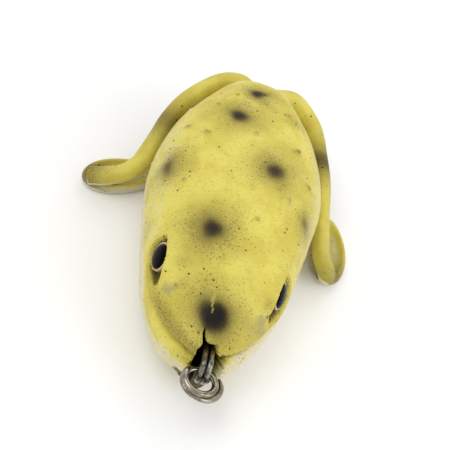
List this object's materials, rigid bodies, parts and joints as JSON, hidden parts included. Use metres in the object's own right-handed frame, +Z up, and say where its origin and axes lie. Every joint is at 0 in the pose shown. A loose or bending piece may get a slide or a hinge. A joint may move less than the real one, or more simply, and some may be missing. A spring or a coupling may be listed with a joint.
{
  "type": "hollow-bodied topwater frog lure",
  "caption": "Soft hollow frog fishing lure with domed eyes, a torn mouth around a double hook's eye, a split ring and trailing legs folded forward on oval feet.",
  "frame": {"origin": "middle of the flat patch of the belly that the lure rests on", "axes": "+Z up, -Y towards the nose, +X towards the frog's left side"},
  "size_m": [0.0527, 0.0754, 0.023],
  "materials": {
    "body_rubber": "airbrushed satin skin",
    "leg_rubber": "airbrushed satin skin",
    "eye_rim": "gloss",
    "eye_gloss": "high gloss",
    "hook_steel": "worn nickel plate",
    "lead": "cast, dull",
    "ring_steel": "polished"
  },
  "bodies": {
    "body": {"body_shell": "body_rubber", "left_eye_bead": "eye_rim", "right_eye_bead": "eye_rim", "left_eye_pupil": "eye_gloss", "right_eye_pupil": "eye_gloss"},
    "hook": {"double_hook": "hook_steel", "belly_weight": "lead"},
    "ring": {"split_ring": "ring_steel"},
    "left_upper_leg": {"left_thigh": "leg_rubber"},
    "left_lower_leg": {"left_shin": "leg_rubber"},
    "left_paddle": {"left_foot": "leg_rubber"},
    "right_upper_leg": {"right_thigh": "leg_rubber"},
    "right_lower_leg": {"right_shin": "leg_rubber"},
    "right_paddle": {"right_foot": "leg_rubber"}
  },
  "joints": [
    {"name": "hook_lift", "type": "hinge", "parent": "body", "child": "hook", "pos_m": [0, -0.03, 0.012], "axis": [1, 0, 0], "range_deg": [0, 2], "stiffness_Nm_per_rad": 2},
    {"name": "ring_swing", "type": "hinge", "parent": "hook", "child": "ring", "pos_m": [0.00135, -0.0326, 0.011], "axis": [1, 0, 0], "range_deg": [-55, 16]},
    {"name": "left_hip", "type": "hinge", "parent": "body", "child": "left_upper_leg", "pos_m": [0.0044, 0.03168, 0.0138], "axis": [0, 0, 1], "range_deg": [0, 60], "stiffness_Nm_per_rad": 0.0015},
    {"name": "left_knee", "type": "hinge", "parent": "left_upper_leg", "child": "left_lower_leg", "pos_m": [0.0152, 0.02507, 0.01047], "axis": [0, 0, 1], "range_deg": [0, 45], "stiffness_Nm_per_rad": 0.0012},
    {"name": "left_ankle", "type": "hinge", "parent": "left_lower_leg", "child": "left_paddle", "pos_m": [0.0184, 0.00869, 0.00656], "axis": [0, 0, 1], "range_deg": [0, 40], "stiffness_Nm_per_rad": 0.001},
    {"name": "right_hip", "type": "hinge", "parent": "body", "child": "right_upper_leg", "pos_m": [-0.0044, 0.03168, 0.0138], "axis": [0, 0, 1], "range_deg": [-60, 0], "stiffness_Nm_per_rad": 0.0015},
    {"name": "right_knee", "type": "hinge", "parent": "right_upper_leg", "child": "right_lower_leg", "pos_m": [-0.01488, 0.02286, 0.01001], "axis": [0, 0, 1], "range_deg": [-45, 0], "stiffness_Nm_per_rad": 0.0012},
    {"name": "right_ankle", "type": "hinge", "parent": "right_lower_leg", "child": "right_paddle", "pos_m": [-0.01808, 0.01247, 0.00598], "axis": [0, 0, 1], "range_deg": [-30, 0], "stiffness_Nm_per_rad": 0.001}
  ]
}
